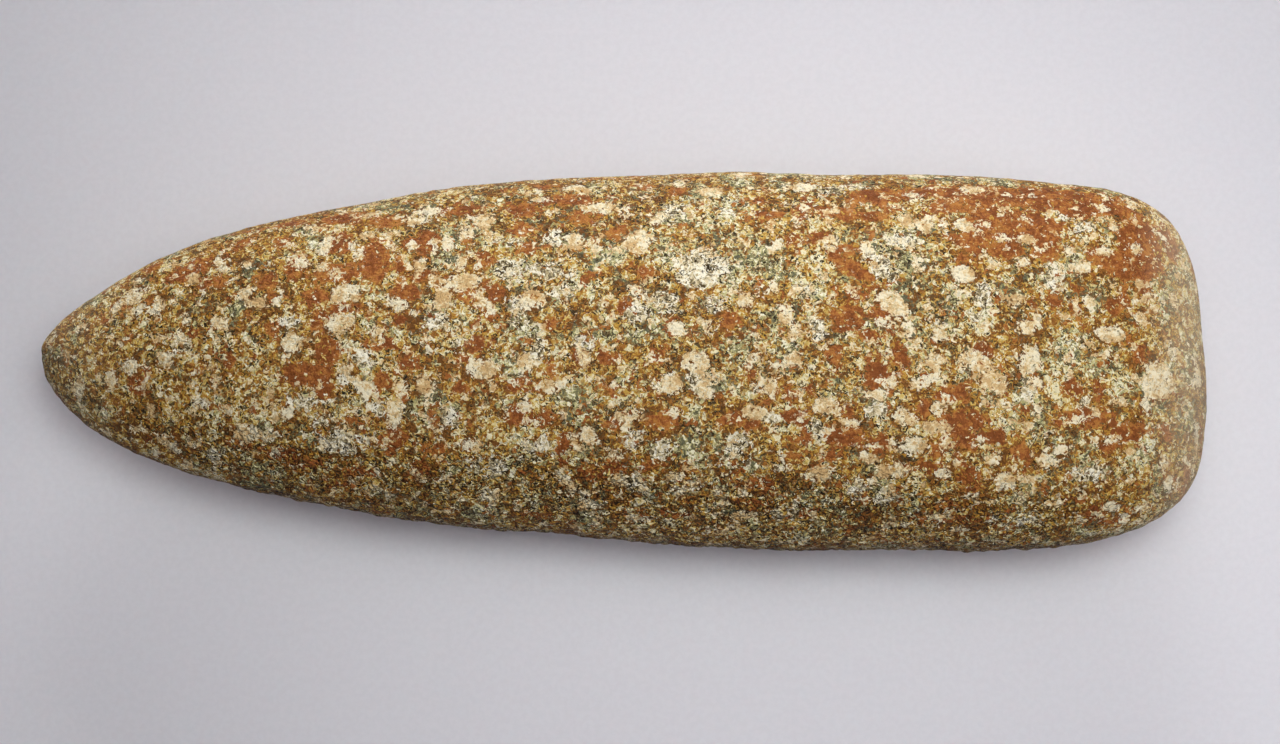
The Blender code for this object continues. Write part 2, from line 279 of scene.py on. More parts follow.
class NodeBench:
    """Lays out the nodes of one material and links them."""

    def __init__(self, name: str) -> None:
        """Start a material with only its output and its shader.

        Args:
            name: the material's name.
        """
        self.material = bpy.data.materials.new(name)
        self.material.use_nodes = True
        self.tree = self.material.node_tree
        self.shader = self.tree.nodes["Principled BSDF"]

    def node(self, kind: str, **settings: object) -> bpy.types.Node:
        """Add a node.

        Args:
            kind: the node's type name.
            settings: properties to set on it.

        Returns:
            The new node.
        """
        made = self.tree.nodes.new(kind)
        for key, value in settings.items():
            setattr(made, key, value)
        return made

    def feed(self, socket: Socket, value: object) -> None:
        """Link an output to a socket, or set the socket's own value.

        Args:
            socket: the input.
            value: an output socket, or a plain value.
        """
        if isinstance(value, Socket):
            self.tree.links.new(value, socket)
        else:
            socket.default_value = value

    def maths(self, operation: str, *values: object, clamp: bool = False) -> Socket:
        """Combine numbers.

        Args:
            operation: the Math node's operation.
            values: its inputs, in order.
            clamp: whether the result is kept from 0 to 1.

        Returns:
            The result.
        """
        made = self.node("ShaderNodeMath", operation=operation, use_clamp=clamp)
        for socket, value in zip(made.inputs, values, strict=False):
            self.feed(socket, value)
        return made.outputs["Value"]

    def weigh(self, base: object, *terms: tuple) -> Socket:
        """Add weighted numbers to a first one.

        Args:
            base: the first number.
            terms: pairs of a number and its weight.

        Returns:
            The sum.
        """
        total = base
        for value, weight in terms:
            total = self.maths("MULTIPLY_ADD", value, weight, total)
        return total

    def vector(self, operation: str, *values: object) -> Socket:
        """Combine vectors.

        Args:
            operation: the Vector Math node's operation.
            values: its inputs, in order; for SCALE the second is the factor.

        Returns:
            The resulting vector.
        """
        made = self.node("ShaderNodeVectorMath", operation=operation)
        self.feed(made.inputs[0], values[0])
        self.feed(made.inputs["Scale"] if operation == "SCALE" else made.inputs[1], values[1])
        return made.outputs["Vector"]

    def swell(
        self, place: object, wave: float, octaves: float = 2.0, rough: float = 0.5, seat: float = 0.0
    ) -> Socket:
        """Add smooth noise about 0; each octave strays by about 0.26.

        Args:
            place: the coordinates.
            wave: length of its longest waves, in units of the coordinates.
            octaves: how many finer octaves it has.
            rough: how strong each octave is beside the last.
            seat: a shift that makes this noise unlike another of the same size.

        Returns:
            The noise.
        """
        made = self.node("ShaderNodeTexNoise", noise_dimensions="3D", normalize=False)
        self.feed(made.inputs["Vector"], self.vector("ADD", place, (seat, 1.7 * seat, -seat)))
        made.inputs["Scale"].default_value = 1.0 / wave
        made.inputs["Detail"].default_value = octaves
        made.inputs["Roughness"].default_value = rough
        return made.outputs["Fac"]

    def cells(self, place: object, size: float, feature: str = "F1") -> bpy.types.Node:
        """Add a mosaic of cells.

        Args:
            place: the coordinates.
            size: how large each cell is, in units of the coordinates.
            feature: the Voronoi feature.

        Returns:
            The Voronoi node.
        """
        made = self.node("ShaderNodeTexVoronoi", feature=feature)
        self.feed(made.inputs["Vector"], place)
        made.inputs["Scale"].default_value = 1.0 / size
        return made

    def dice(self, cells: bpy.types.Node) -> list[Socket]:
        """Three chance numbers from 0 to 1 for each cell of a mosaic.

        Args:
            cells: the mosaic.

        Returns:
            The three numbers.
        """
        split = self.node("ShaderNodeSeparateColor")
        self.feed(split.inputs["Color"], cells.outputs["Color"])
        return [split.outputs[name] for name in ("Red", "Green", "Blue")]

    def step(self, value: object, low: float, high: float) -> Socket:
        """Ease a number from 0 at low to 1 at high.

        Args:
            value: the number.
            low: where the step starts.
            high: where it ends.

        Returns:
            The eased number.
        """
        made = self.node("ShaderNodeMapRange", interpolation_type="SMOOTHSTEP")
        self.feed(made.inputs["Value"], value)
        made.inputs["From Min"].default_value = low
        made.inputs["From Max"].default_value = high
        return made.outputs["Result"]

    def ramp(self, value: object, stops: tuple, interpolation: str = "LINEAR") -> Socket:
        """Turn a number into a colour.

        Args:
            value: the number, from 0 to 1.
            stops: pairs of place and colour, in order.
            interpolation: how the colours join.

        Returns:
            The colour.
        """
        made = self.node("ShaderNodeValToRGB")
        made.color_ramp.interpolation = interpolation
        elements = made.color_ramp.elements
        while len(elements) < len(stops):
            elements.new(1.0)
        for element, (place, colour) in zip(elements, stops, strict=True):
            element.position = place
            element.color = srgb(*colour)
        self.feed(made.inputs["Fac"], value)
        return made.outputs["Color"]

    def mix(self, share: object, first: object, second: object, blend: str = "MIX") -> Socket:
        """Blend two colours.

        Args:
            share: how much of the second there is.
            first: the first colour.
            second: the second colour.
            blend: how they blend.

        Returns:
            The blended colour.
        """
        made = self.node("ShaderNodeMix", data_type="RGBA", blend_type=blend, clamp_factor=True)
        sockets = {s.name: s for s in made.inputs if s.type == "RGBA"}
        self.feed(made.inputs["Factor"], share)
        self.feed(sockets["A"], first)
        self.feed(sockets["B"], second)
        return next(s for s in made.outputs if s.type == "RGBA")

    def attribute(self, kind: Stain | Wear) -> Socket:
        """Read a number that the mesh holds at each of its points."""
        return self.node("ShaderNodeAttribute", attribute_name=kind.value).outputs["Fac"]


# Colours of the grains, each from the number where it starts: clean and stained by iron, from the
# darkest to the palest, the almost black specks among them, and those of unweathered patches.
CLEAN_GRAINS = (
    (0.00, (101, 99, 74)),
    (0.18, (136, 131, 90)),
    (0.34, (169, 161, 108)),
    (0.50, (197, 188, 134)),
    (0.66, (219, 211, 165)),
    (0.82, (237, 231, 202)),
)
STAINED_GRAINS = (
    (0.00, (110, 69, 27)),
    (0.16, (137, 88, 36)),
    (0.30, (159, 104, 44)),
    (0.44, (178, 129, 48)),
    (0.57, (193, 153, 68)),
    (0.69, (207, 177, 99)),
    (0.81, (219, 200, 140)),
    (0.92, (230, 218, 178)),
)
SPECKS = ((0.00, (34, 27, 12)), (0.45, (72, 56, 30)), (0.85, (112, 95, 60)))
FRESH_GRAINS = (
    (0.00, (117, 103, 76)),
    (0.26, (185, 168, 126)),
    (0.40, (223, 206, 168)),
    (0.54, (243, 235, 213)),
)
RUST_TINTS = ((0.25, (128, 70, 30)), (0.50, (158, 92, 43)), (0.75, (181, 120, 56)))
FELDSPAR_TINTS = ((0.22, (205, 168, 115)), (0.50, (230, 207, 160)), (0.78, (239, 227, 196)))


@dataclass(frozen=True)
class Grains:
    """The stone's mosaic, as its material reads it at each point.

    place is where the point lies, in millimetres, bent is the same with a fine stray, and seat is the middle
    of its grain. The rest are chance numbers from 0 to 1: three of the grain's own, and two of the larger
    fleck that it belongs to.
    """

    place: Socket
    bent: Socket
    seat: Socket
    first: Socket
    second: Socket
    third: Socket
    fleck_first: Socket
    fleck_second: Socket


@dataclass(frozen=True)
class WeatheredGranite:
    """The stone's finish: a mosaic of ochre, dark and pale grains, rust stains and cream feldspars.

    In its methods each weigh() says how much each thing counts, and each swell() has a seat of its own, so
    that no two noises are alike.
    """

    grain_mm: float = 0.38
    fleck_mm: float = 0.85
    speck_mm: float = 0.32
    stray_mm: float = 0.55
    strays_in_mm: float = 1.1
    relief_mm: float = 0.15
    roughness: float = 0.64
    shine: float = 0.15
    # The next one tints dirt and painted shade in the creases.
    crease_dirt_shade: tuple[int, int, int] = (82, 60, 38)
    # The next one tints painted shade low on the sides.
    low_shade: tuple[int, int, int] = (118, 84, 66)
    # The next two tint a pale rub with painted sheen on both ends, and give its share.
    rub_sheen_tint: tuple[int, int, int] = (224, 206, 176)
    rub_sheen_share: float = 0.34

    def material(self) -> bpy.types.Material:
        """Build the material.

        Returns:
            The material.
        """
        bench = NodeBench("granite")
        grains = self.mosaic(bench)
        fresh = self.inside(bench, Stain.FRESH, grains.seat, grains.second, 3.0, 1.5)
        fresh = bench.step(fresh, 0.05, 0.35)
        dark = self.inside(bench, Stain.DARK, grains.seat, grains.second, 5.0, 1.2)
        dark = bench.step(dark, -0.15, 0.15)
        black, black_tint = self.specks(bench, grains, dark)
        colour = bench.mix(black, self.matrix(bench, grains, fresh, dark), black_tint)
        for share, tint in (self.rust(bench, grains, fresh), self.feldspar(bench, grains)):
            colour = bench.mix(share, colour, tint)
        lumps = bench.maths("ABSOLUTE", bench.swell(grains.bent, 1.5, 1.0, 0.6, 52.0))
        pits = bench.swell(grains.place, 0.7, 2.0, 0.8, 33.0)
        colour = self.weather_and_shade(bench, colour, lumps, pits)
        bench.feed(bench.shader.inputs["Base Color"], colour)
        rough = bench.weigh(self.roughness, (bench.maths("SUBTRACT", grains.second, 0.5), 0.2))
        bench.feed(bench.shader.inputs["Roughness"], rough)
        bench.shader.inputs["Specular IOR Level"].default_value = self.shine
        self.bump(bench, lumps, pits, black)
        return bench.material

    def mosaic(self, bench: NodeBench) -> Grains:
        """Lay out the mosaic of grains and flecks.

        Args:
            bench: the node bench.

        Returns:
            What the material reads from it.
        """
        place = bench.vector("SCALE", bench.node("ShaderNodeTexCoord").outputs["Object"], 1.0 / MM)
        stray = bench.node("ShaderNodeTexNoise", normalize=False)
        bench.feed(stray.inputs["Vector"], place)
        stray.inputs["Scale"].default_value = self.strays_in_mm
        stray.inputs["Detail"].default_value = 2.0
        bent = bench.vector("ADD", place, bench.vector("SCALE", stray.outputs["Color"], self.stray_mm))
        grain = bench.cells(bent, self.grain_mm)
        flecks = bench.dice(bench.cells(bent, self.fleck_mm))
        return Grains(place, bent, grain.outputs["Position"], *bench.dice(grain), *flecks[:2])

    def matrix(self, bench: NodeBench, grains: Grains, fresh: object, dark: object) -> Socket:
        """Colour the common grains: clean, stained, and those of unweathered patches.

        Args:
            bench: the node bench.
            grains: the mosaic.
            fresh: how far a grain belongs to an unweathered patch.
            dark: how far it belongs to a dark patch.

        Returns:
            The colour.
        """
        # How pale each grain is: its own chance, its fleck's, and drifts of every size.
        level = bench.weigh(-0.27, (bench.swell(grains.seat, 9.0, 4.0, 0.9), 0.28))
        level = bench.weigh(level, (grains.first, 0.77), (grains.fleck_first, 0.72))
        beside = bench.step(bench.attribute(Stain.FELDSPAR), -1.4, -0.2)
        level = bench.weigh(level, (beside, -0.17))
        # Which grains are stained: more around the rust, at the butt and down the sides.
        drift = bench.swell(grains.seat, 6.0, 3.0, 0.9, 40.0)
        soaked = bench.weigh(bench.attribute(Wear.STAINING), (drift, 0.55), (grains.second, 0.5))
        soaked = bench.weigh(soaked, (grains.fleck_second, 0.3), (dark, -0.1))
        clean = bench.ramp(level, CLEAN_GRAINS, "CONSTANT")
        stained = bench.ramp(level, STAINED_GRAINS, "CONSTANT")
        colour = bench.mix(bench.step(soaked, 0.15, 0.45), clean, stained)
        clear = bench.weigh(0.0, (grains.first, 0.5), (grains.fleck_second, 0.5))
        return bench.mix(fresh, colour, bench.ramp(clear, FRESH_GRAINS, "CONSTANT"))

    def specks(self, bench: NodeBench, grains: Grains, dark: object) -> tuple[Socket, Socket]:
        """Strew almost black specks over the matrix, in loose strings and knots.

        Args:
            bench: the node bench.
            grains: the mosaic.
            dark: how far a grain belongs to a dark patch.

        Returns:
            Where they are, as 0 or 1, and their colour.
        """
        speck = bench.cells(grains.bent, self.speck_mm)
        first, second, _ = bench.dice(speck)
        thick = bench.swell(speck.outputs["Position"], 3.5, 3.0, 0.85, 70.0)
        worn = bench.attribute(Wear.WORN)
        black = bench.weigh(0.165, (thick, 0.26), (dark, 0.20), (worn, -0.06))
        # A few more dark specks where the surface is pecked, most on the front and lower sides: painted shade
        # of its pits.
        black = bench.weigh(black, (bench.attribute(Wear.PECKED), 0.05), (first, -1.0))
        tint = bench.ramp(bench.weigh(second, (worn, 0.3)), SPECKS)
        return bench.maths("GREATER_THAN", black, 0.0), tint

    def rust(self, bench: NodeBench, grains: Grains, fresh: object) -> tuple[Socket, Socket]:
        """Stain the rust patches, and small spots between them.

        Args:
            bench: the node bench.
            grains: the mosaic.
            fresh: how far a grain belongs to an unweathered patch, which has few spots.

        Returns:
            Where the rust is, from 0 to 1, and its colour.
        """
        depth = self.inside(bench, Stain.RUST, grains.seat, grains.third, 7.0, 1.0)
        spots = bench.swell(grains.seat, 3.0, 2.0, 0.8, 90.0)
        spots = bench.weigh(-1.2, (spots, 1.6), (grains.third, 0.25), (fresh, -0.6))
        depth = bench.maths("MAXIMUM", depth, spots)
        whole = bench.weigh(0.95, (bench.attribute(Wear.PECKED), -0.22))
        whole = bench.maths("LESS_THAN", grains.first, whole)
        rim = bench.step(depth, 0.9, -0.1)
        chance = bench.maths("SUBTRACT", grains.first, 0.5)
        drift = bench.swell(grains.place, 3.0, 4.0, 0.9, 15.0)
        # The rust's tint is painted lighter towards the back: painted sheen.
        tint = bench.weigh(bench.attribute(Wear.RUST_SHEEN), (drift, 0.34), (chance, 0.4), (rim, 0.2))
        share = bench.maths("MULTIPLY", bench.step(depth, -0.2, 0.06), whole)
        return share, bench.ramp(tint, RUST_TINTS)

    def feldspar(self, bench: NodeBench, grains: Grains) -> tuple[Socket, Socket]:
        """Set in the cream feldspars, and small ones between them.

        Args:
            bench: the node bench.
            grains: the mosaic.

        Returns:
            Where the feldspar is, from 0 to 1, and its colour.
        """
        depth = self.inside(bench, Stain.FELDSPAR, grains.seat, grains.first, 11.0, 0.75)
        small = bench.swell(grains.seat, 2.6, 2.0, 0.7, 60.0)
        depth = bench.maths("MAXIMUM", depth, bench.weigh(-0.96, (small, 1.7), (grains.first, 0.3)))
        whole = bench.maths("LESS_THAN", grains.third, 0.95)
        share = bench.maths("MULTIPLY", bench.step(depth, -0.12, 0.12), whole)
        chance = bench.maths("SUBTRACT", grains.first, 0.5)
        drift = bench.swell(grains.place, 3.5, 4.0, 0.8, 25.0)
        return share, bench.ramp(bench.weigh(0.52, (drift, 0.55), (chance, 0.45)), FELDSPAR_TINTS)

    def weather_and_shade(self, bench: NodeBench, colour: object, lumps: object, pits: object) -> Socket:
        """Lay dirt and painted shade in the creases between lumps, painted shade low on the sides, and a pale
        rub with painted sheen on both ends.

        Args:
            bench: the node bench.
            colour: the stone's colour.
            lumps: the height of the lumps, 0 in the creases.
            pits: the height of the finest unevenness.

        Returns:
            The weathered colour, with painted shade and sheen.
        """
        # Dirt and painted shade in the creases between lumps, most where the surface is pecked, on the front
        # and lower sides.
        crease = bench.step(bench.weigh(lumps, (pits, 0.08)), 0.12, 0.0)
        crease_dirt_shade = bench.weigh(0.35, (bench.attribute(Wear.PECKED), 0.65))
        crease_dirt_shade = bench.maths("MULTIPLY", crease, crease_dirt_shade)
        colour = bench.mix(crease_dirt_shade, colour, srgb(*self.crease_dirt_shade), "MULTIPLY")
        # Painted shade low on the sides and where they turn under.
        low_shade = bench.maths("MAXIMUM", bench.attribute(Wear.LOW_SHADE), bench.attribute(Wear.FLANK_SHADE))
        colour = bench.mix(low_shade, colour, srgb(*self.low_shade), "MULTIPLY")
        # A pale rub with painted sheen on both ends.
        rub_sheen = bench.maths("MULTIPLY", bench.attribute(Wear.RUB_SHEEN), self.rub_sheen_share)
        return bench.mix(rub_sheen, colour, srgb(*self.rub_sheen_tint))

    def inside(
        self, bench: NodeBench, kind: Stain, seat: object, chance: object, shift: float, ragged_mm: float
    ) -> Socket:
        """How far inside a mark a grain lies, in millimetres, with the marks' rims made ragged.

        Args:
            bench: the node bench.
            kind: the sort of mark.
            seat: the middle of the grain.
            chance: a chance number of the grain.
            shift: keeps the rims of one sort unlike another's.
            ragged_mm: how far the rims stray.

        Returns:
            The distance, above 0 inside.
        """
        ragged = bench.swell(seat, 2.4, 2.0, 0.75, shift)
        chance = bench.maths("SUBTRACT", chance, 0.5)
        return bench.weigh(bench.attribute(kind), (ragged, ragged_mm), (chance, 0.5))

    def bump(self, bench: NodeBench, lumps: object, pits: object, black: object) -> None:
        """Press fine relief into the surface: lumps, most where it is pecked, pits, and sunken specks.

        Args:
            bench: the node bench.
            lumps: the height of the lumps.
            pits: the height of the finest unevenness.
            black: where the dark specks are.
        """
        size = bench.weigh(1.0, (bench.attribute(Wear.PECKED), 7.5))
        height = bench.weigh(0.0, (lumps, size), (pits, 0.3), (black, -0.15))
        bump = bench.node("ShaderNodeBump")
        bump.inputs["Strength"].default_value = 1.0
        bump.inputs["Distance"].default_value = self.relief_mm * MM
        bench.feed(bump.inputs["Height"], height)
        bench.feed(bench.shader.inputs["Normal"], bump.outputs["Normal"])


@dataclass(frozen=True)
class PaleFoam:
    """The floor's finish: plain, pale and matt, a little translucent, and softly aglow far from the stone.

    shade is how dark its faint clouding gets beside the tint, depth is how far light sinks into it, and
    glow_mm is how far from the stone the glow starts and is full.
    """

    tint: tuple[int, int, int] = (229, 227, 233)
    shade: float = 0.985
    cloud_mm: float = 1.1
    roughness: float = 0.85
    depth: float = 0.03
    depths: tuple[float, float, float] = (1.0, 0.92, 0.92)
    glow: float = 0.40
    glow_mm: tuple[float, float] = (220.0, 850.0)

    def material(self) -> bpy.types.Material:
        """Build the material.

        Returns:
            The material.
        """
        bench = NodeBench("pale_floor")
        place = bench.vector("SCALE", bench.node("ShaderNodeTexCoord").outputs["Object"], 1.0 / MM)
        far = bench.node("ShaderNodeVectorMath", operation="LENGTH")
        bench.feed(far.inputs[0], place)
        glow = bench.step(far.outputs["Value"], *self.glow_mm)
        bench.feed(bench.shader.inputs["Emission Strength"], bench.maths("MULTIPLY", glow, self.glow))
        bench.shader.inputs["Emission Color"].default_value = srgb(*self.tint)
        bench.material.cycles.emission_sampling = "NONE"
        cloud = bench.weigh(0.5, (bench.swell(place, self.cloud_mm, 4.0, 0.6), 0.4))
        low = tuple(round(self.shade * c) for c in self.tint)
        colour = bench.ramp(cloud, ((0.3, low), (0.7, self.tint)))
        bench.feed(bench.shader.inputs["Base Color"], colour)
        bench.shader.inputs["Roughness"].default_value = self.roughness
        bench.shader.inputs["Subsurface Weight"].default_value = 1.0
        bench.shader.inputs["Subsurface Scale"].default_value = self.depth
        bench.shader.inputs["Subsurface Radius"].default_value = self.depths
        return bench.material


@dataclass(frozen=True)
class Ripple:
    """One size of unevenness in the surface: its width, and its height where it is ground and where pecked.

    A lumpy one stands in rounded lumps with creases between them, and lump_middle is their mean height.
    """

    wave_mm: float
    ground_mm: float
    pecked_mm: float
    lumpy: bool = False
    lump_middle: float = 0.4

    def height(self, place: Vector, seat: float, pecked: float) -> float:
        """How high the surface stands.

        Args:
            place: the point, in millimetres.
            seat: a shift that makes this ripple unlike the others.
            pecked: how pecked the surface is there, from 0 to 1.

        Returns:
            The height in millimetres.
        """
        size = self.ground_mm + (self.pecked_mm - self.ground_mm) * pecked
        swell = noise.noise(place / self.wave_mm + Vector((0.0, 0.0, seat)))
        return size * (2.0 * abs(swell) - self.lump_middle if self.lumpy else swell)


@dataclass
class AxeHead:
    """The stone: the CAD head again, finely divided, with its hand-ground relief and its natural marks.

    Each pair of sizes is where a change over the surface starts and where it is complete: along from the
    middle for the butt, tip, bit and edge, across for the sides and back, and up from the floor for the
    painted shade low on the sides.
    The two slopes are how far up or down a point faces, from 0 for sideways to 1, and the flanks' is taken
    from flank_tilt below sideways. flat_mm and flat_fade_mm keep the relief off the flat spot.
    """

    node: str = "axe_head"
    facet: float = 0.00062
    weld_mm: float = 0.01
    finish: WeatheredGranite = field(default_factory=WeatheredGranite)
    ripples: tuple[Ripple, ...] = (
        Ripple(26.0, 0.20, 0.20),
        Ripple(8.0, 0.08, 0.22),
        Ripple(3.2, 0.05, 0.22, True),
        Ripple(1.7, 0.05, 0.20, True),
    )
    ripple_shift: float = 13.7
    flat_mm: float = 0.05
    flat_fade_mm: float = 1.5
    underside: dict[Stain, Scatter] = field(
        default_factory=lambda: {
            Stain.RUST: Scatter(150, 2.0, 8.0),
            Stain.FELDSPAR: Scatter(170, 1.6, 5.0),
            Stain.FRESH: Scatter(70, 2.0, 6.0),
            Stain.DARK: Scatter(20, 2.0, 5.0),
        }
    )
    side_slope: tuple[float, float] = (0.78, 0.99)
    flank_slope: tuple[float, float] = (0.15, 0.60)
    flank_tilt: float = 0.15
    pecked_butt_mm: tuple[float, float] = (-85.0, -35.0)
    smooth_tip_mm: tuple[float, float] = (-88.0, -60.0)
    polished_bit_mm: tuple[float, float] = (66.0, 96.0)
    stained_butt_mm: tuple[float, float] = (-75.0, -10.0)
    stained_side_mm: tuple[float, float] = (18.0, 30.0)
    clean_back_mm: tuple[float, float] = (0.0, 18.0)
    clean_bit_mm: tuple[float, float] = (78.0, 96.0)
    # The next pair is where painted sheen lightens the rust towards the back.
    rust_sheen_back_mm: tuple[float, float] = (-2.0, 15.0)
    worn_bit_mm: tuple[float, float] = (45.0, 96.0)
    # The next two pairs bound the pale rub with painted sheen, at the edge and at the butt tip.
    rub_sheen_edge_mm: tuple[float, float] = (86.0, 98.0)
    rub_sheen_tip_mm: tuple[float, float] = (-98.0, -80.0)
    # The last two pairs bound the painted shade low on the sides, up from the floor.
    low_shade_starts_mm: tuple[float, float] = (0.5, 5.0)
    low_shade_ends_mm: tuple[float, float] = (6.0, 17.0)

    def build(self) -> bpy.types.Object:
        """Make the stone, dress it and put it in the node's place.

        Returns:
            The finished piece.
        """
        piece = self.fine_copy()
        pecked = self.peck(piece.data)
        self.shade_flanks(piece.data)
        self.carve(piece.data, pecked)
        rust = self.lay_marks(piece.data)[Stain.RUST]
        self.weather_and_shade(piece.data, rust)
        piece.data.materials.clear()
        piece.data.materials.append(self.finish.material())
        piece.data.shade_smooth()
        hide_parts(self.node)
        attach(piece, "root")
        return piece

    def fine_copy(self) -> bpy.types.Object:
        """Copy the node's mesh, round its facets off and divide it into small even faces.

        Returns:
            The copy, under its own name.
        """
        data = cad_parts[self.node].data.copy()
        piece = bpy.data.objects.new("stone_axe_head", data)
        bpy.context.scene.collection.objects.link(piece)
        weld = piece.modifiers.new("weld", "WELD")
        weld.merge_threshold = self.weld_mm * MM
        rounded = piece.modifiers.new("rounded", "SUBSURF")
        rounded.levels = 1
        rounded.render_levels = 1
        remesh = piece.modifiers.new("remesh", "REMESH")
        remesh.mode = "VOXEL"
        remesh.voxel_size = self.facet
        graph = bpy.context.evaluated_depsgraph_get()
        fine = bpy.data.meshes.new_from_object(piece.evaluated_get(graph))
        remesh.show_viewport = False
        graph = bpy.context.evaluated_depsgraph_get()
        surface = BVHTree.FromObject(piece, graph)
        piece.modifiers.clear()
        piece.data = fine
        for vertex in fine.vertices:
            vertex.co = surface.find_nearest(vertex.co)[0]
        return piece

    @staticmethod
    def points_mm(mesh: bpy.types.Mesh) -> np.ndarray:
        """Read where each point of the mesh is.

        Args:
            mesh: the mesh.

        Returns:
            The points in millimetres, one row each.
        """
        rows = np.empty(len(mesh.vertices) * 3)
        mesh.vertices.foreach_get("co", rows)
        return rows.reshape(-1, 3) / MM

    @staticmethod
    def facing(mesh: bpy.types.Mesh) -> np.ndarray:
        """Read which way each point of the mesh faces.

        Args:
            mesh: the mesh.

        Returns:
            The directions, one row each.
        """
        rows = np.empty(len(mesh.vertices) * 3)
        mesh.vertex_normals.foreach_get("vector", rows)
        return rows.reshape(-1, 3)

    def peck(self, mesh: bpy.types.Mesh) -> np.ndarray:
        """Find where the surface was left pecked: on the sides and the butt, and least at the polished bit.

        Args:
            mesh: the stone's mesh, which gets the numbers as an attribute too.

        Returns:
            A number for each point, from 0 where it is ground smooth to 1 where it is pecked.
        """
        along = self.points_mm(mesh)[:, 0]
        facing = self.facing(mesh)
        side = 1.0 - smooth_step(np.abs(facing[:, 2]), *self.side_slope)
        side *= np.where(facing[:, 1] < 0.0, 1.0, 0.15)
        butt = 0.25 * (1.0 - smooth_step(along, *self.pecked_butt_mm))
        polish = 1.0 - 0.8 * smooth_step(along, *self.polished_bit_mm)
        polish *= 1.0 - 0.55 * (1.0 - smooth_step(along, *self.smooth_tip_mm))
        pecked = np.maximum(side, butt) * polish
        self.write(mesh, Wear.PECKED, pecked)
        return pecked

    def shade_flanks(self, mesh: bpy.types.Mesh) -> None:
        """Write how much painted shade darkens the sides where they turn under, most of it on the front.

        Args:
            mesh: the stone's mesh.
        """
        along = self.points_mm(mesh)[:, 0]
        facing = self.facing(mesh)
        flank_shade = 1.0 - smooth_step(np.abs(facing[:, 2] + self.flank_tilt), *self.flank_slope)
        flank_shade *= np.where(facing[:, 1] < 0.0, 0.50, 0.10)
        flank_shade *= 1.0 - 0.7 * smooth_step(along, *self.clean_bit_mm)
        self.write(mesh, Wear.FLANK_SHADE, flank_shade)

    def carve(self, mesh: bpy.types.Mesh, pecked: np.ndarray) -> None:
        """Press the relief into the surface, and leave the flat spot as it is.

        Args:
            mesh: the stone's mesh.
            pecked: how pecked it is at each point.
        """
        normals = [n.vector.copy() for n in mesh.vertex_normals]
        for vertex, normal, share in zip(mesh.vertices, normals, pecked.tolist(), strict=True):
            place = vertex.co / MM
            height = 0.0
            for number, ripple in enumerate(self.ripples):
                height += ripple.height(place, self.ripple_shift * number, share)
            held = min(max((place.z - self.flat_mm) / self.flat_fade_mm, 0.0), 1.0)
            moved = vertex.co + normal * height * held * MM
            moved.z = max(moved.z, 0.0)
            vertex.co = moved

    def lay_marks(self, mesh: bpy.types.Mesh) -> dict[Stain, np.ndarray]:
        """Lay the marks of every sort on both faces, and write them onto the mesh.

        Args:
            mesh: the stone's mesh.

        Returns:
            How far each point lies inside a mark of each sort, in millimetres.
        """
        points = self.points_mm(mesh)
        tree = BVHTree.FromPolygons([v.co for v in mesh.vertices], [p.vertices for p in mesh.polygons])
        draw = random.Random(STREWN_SEED)
        upper = {
            Stain.RUST: RUST_PATCHES,
            Stain.FELDSPAR: FELDSPARS,
            Stain.FRESH: FRESH_PATCHES,
            Stain.DARK: DARK_PATCHES,
        }
        depth = {}
        for kind, placed in upper.items():
            depth[kind] = np.full(len(points), -REACH_MM)
            for mark in placed:
                self.lay(mark, 1.0, tree, points, depth[kind])
            for mark in self.underside[kind].strewn(draw):
                self.lay(mark, -1.0, tree, points, depth[kind])
            self.write(mesh, kind, depth[kind])
        return depth

    @staticmethod
    def lay(mark: Mark, side: float, tree: BVHTree, points: np.ndarray, depth: np.ndarray) -> None:
        """Raise each point's number to how far inside a mark it lies, in millimetres.

        Args:
            mark: the mark.
            side: 1 for the upper face and -1 for the underside.
            tree: the stone's surface.
            points: the stone's points, in millimetres.
            depth: the numbers, changed in place.
        """
        start = Vector((mark.x_mm * MM, mark.y_mm * MM, side))
        middle, normal, _, _ = tree.ray_cast(start, Vector((0.0, 0.0, -side)))
        if middle is None:
            return
        turn = math.radians(mark.turn)
        along = Vector((math.cos(turn), math.sin(turn), 0.0))
        along = (along - normal * along.dot(normal)).normalized()
        across = normal.cross(along)
        span = mark.length_mm / 2.0 + REACH_MM
        centre = np.array(middle) / MM
        near = np.nonzero(np.abs(points[:, 0] - centre[0]) < span)[0]
        near = near[np.abs(points[near, 1] - centre[1]) < span]
        offset = points[near] - centre
        u = offset @ np.array(along) / (mark.length_mm / 2.0)
        v = offset @ np.array(across) / (mark.width_mm / 2.0)
        w = offset @ np.array(normal) / mark.length_mm
        inside = (1.0 - np.sqrt(u * u + v * v + w * w)) * min(mark.length_mm, mark.width_mm) / 2.0
        depth[near] = np.maximum(depth[near], inside)

    def weather_and_shade(self, mesh: bpy.types.Mesh, rust: np.ndarray) -> None:
        """Write how stained and worn the stone is at each point, where painted sheen lightens the rust, where
        a pale rub with painted sheen lies on both ends, and where painted shade lies low on the sides.

        Args:
            mesh: the stone's mesh.
            rust: how far inside a rust patch each point lies, in millimetres.
        """
        along, across, up = self.points_mm(mesh).T
        butt = 1.0 - smooth_step(along, *self.stained_butt_mm)
        side = smooth_step(np.abs(across), *self.stained_side_mm)
        bit = smooth_step(along, *self.clean_bit_mm)
        halo = smooth_step(rust, -REACH_MM, 0.0)
        back = smooth_step(across, *self.clean_back_mm)
        staining = 0.07 + 0.18 * butt + 0.06 * side + 0.06 * bit + 0.34 * halo - 0.10 * back
        self.write(mesh, Wear.STAINING, staining)
